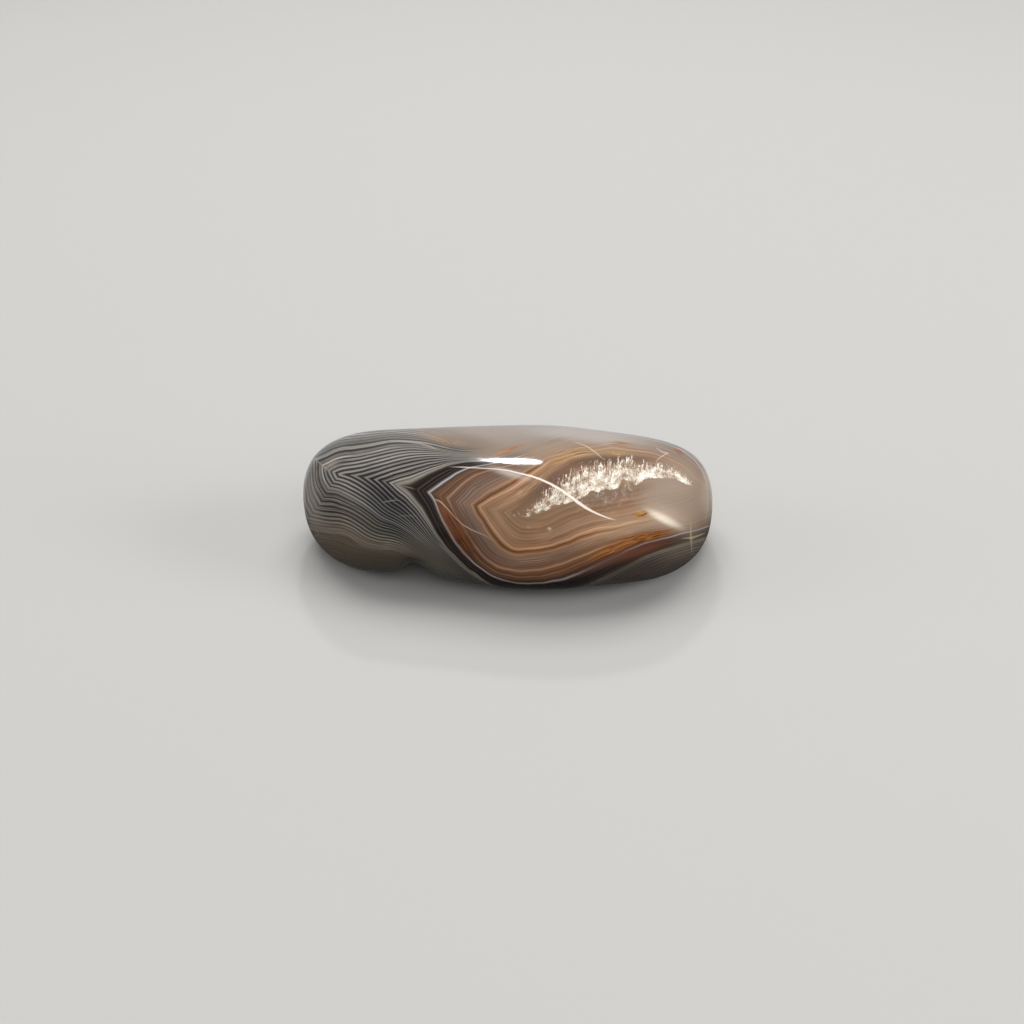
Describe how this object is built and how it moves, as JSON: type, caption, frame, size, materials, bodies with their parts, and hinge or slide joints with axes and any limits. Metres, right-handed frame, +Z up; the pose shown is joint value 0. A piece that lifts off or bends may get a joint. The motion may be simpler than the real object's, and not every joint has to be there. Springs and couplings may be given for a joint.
{
  "type": "lake superior agate",
  "caption": "Polished banded agate with a quartz seam: a long, slightly bean-shaped stone with one blunt end, lying on a small flat spot underneath.",
  "frame": {"origin": "middle of the stone's bounding box in plan, at the level of the surface it lies on", "axes": "+X along the stone's long side towards its blunt end, -Y out of the bulging banded front, +Z up"},
  "size_m": [0.09, 0.0444, 0.0276],
  "materials": {
    "polished_chalcedony": "high polish, translucent chalcedony in grey, black, tan, orange-brown and white bands"
  },
  "bodies": {
    "root": {"agate": "polished_chalcedony"}
  },
  "joints": []
}
